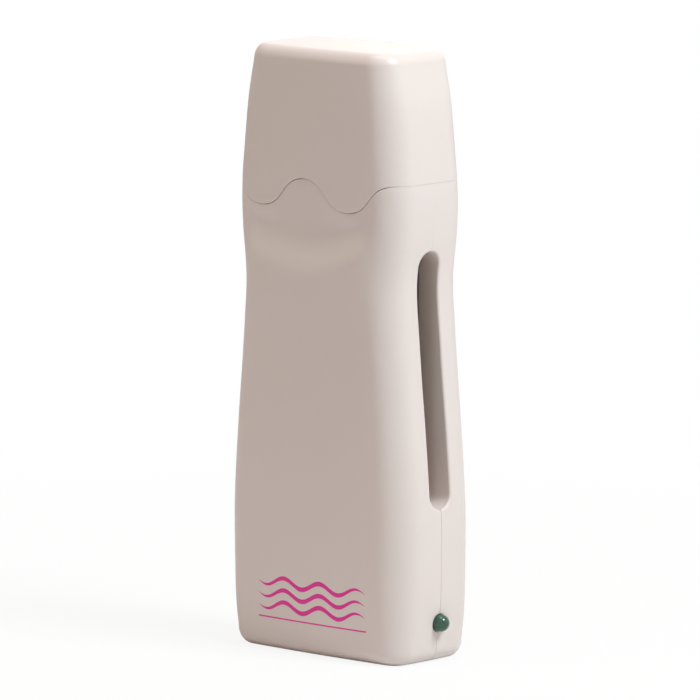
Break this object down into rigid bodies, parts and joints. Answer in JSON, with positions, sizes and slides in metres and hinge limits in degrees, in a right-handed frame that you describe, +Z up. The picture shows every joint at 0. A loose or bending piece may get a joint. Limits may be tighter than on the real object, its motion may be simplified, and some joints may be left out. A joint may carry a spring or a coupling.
{
  "type": "roll-on wax heater",
  "caption": "Upright hand-held heater for a roll-on wax cartridge: waisted ivory shells with side windows, lift-off cap, heated bay, pilot lamp and rear mains inlet.",
  "frame": {"origin": "middle of the flat base, on the surface it stands on", "axes": "+Z up, the front face towards -Y, the pilot lamp on the +X side"},
  "size_m": [0.0886, 0.0432, 0.215],
  "materials": {
    "ivory_plastic": "satin moulded ivory plastic with a faint pearl sheen",
    "heat_plastic": "matt heat-resistant beige plastic",
    "black_plastic": "matt black moulding",
    "green_lens": "polished translucent green plastic",
    "lamp_glass": "clear glass",
    "aluminium": "brushed sheet",
    "spring_steel": "bright strip",
    "tinned_brass": "tinned, semi-bright",
    "zinc_steel": "zinc plated",
    "amber_film": "amber polyimide film",
    "ceramic": "matt fired ceramic",
    "clear_sleeve": "varnished glass-fibre sleeve",
    "blue_wire": "matt insulation",
    "brown_wire": "matt insulation",
    "white_wire": "matt silicone insulation"
  },
  "bodies": {
    "housing": {"front_shell": "ivory_plastic", "rear_shell": "ivory_plastic", "shell_screw_1": "zinc_steel", "shell_screw_2": "zinc_steel", "shell_screw_3": "zinc_steel", "shell_screw_4": "zinc_steel", "neck_collar": "heat_plastic", "bay_liner": "heat_plastic", "heat_plate": "aluminium", "heating_element": "ceramic", "insulating_sheet": "amber_film", "thermostat": "black_plastic", "thermostat_clip": "spring_steel", "thermal_fuse": "clear_sleeve", "inlet_body": "black_plastic", "inlet_pin_left": "tinned_brass", "inlet_pin_right": "tinned_brass", "receptacle_left": "tinned_brass", "receptacle_right": "tinned_brass", "lamp_lens": "green_lens", "lamp_bulb": "lamp_glass", "lamp_holder": "heat_plastic", "lamp_resistor": "ceramic", "live_wire": "brown_wire", "neutral_wire": "blue_wire", "heater_wire": "white_wire", "lamp_live_wire": "brown_wire", "lamp_neutral_wire": "blue_wire"},
    "cap": {"cap": "ivory_plastic"}
  },
  "joints": [
    {"name": "cap_lift", "type": "slide", "parent": "housing", "child": "cap", "axis": [0, 0, 1], "range_m": [0, 0.06]}
  ]
}
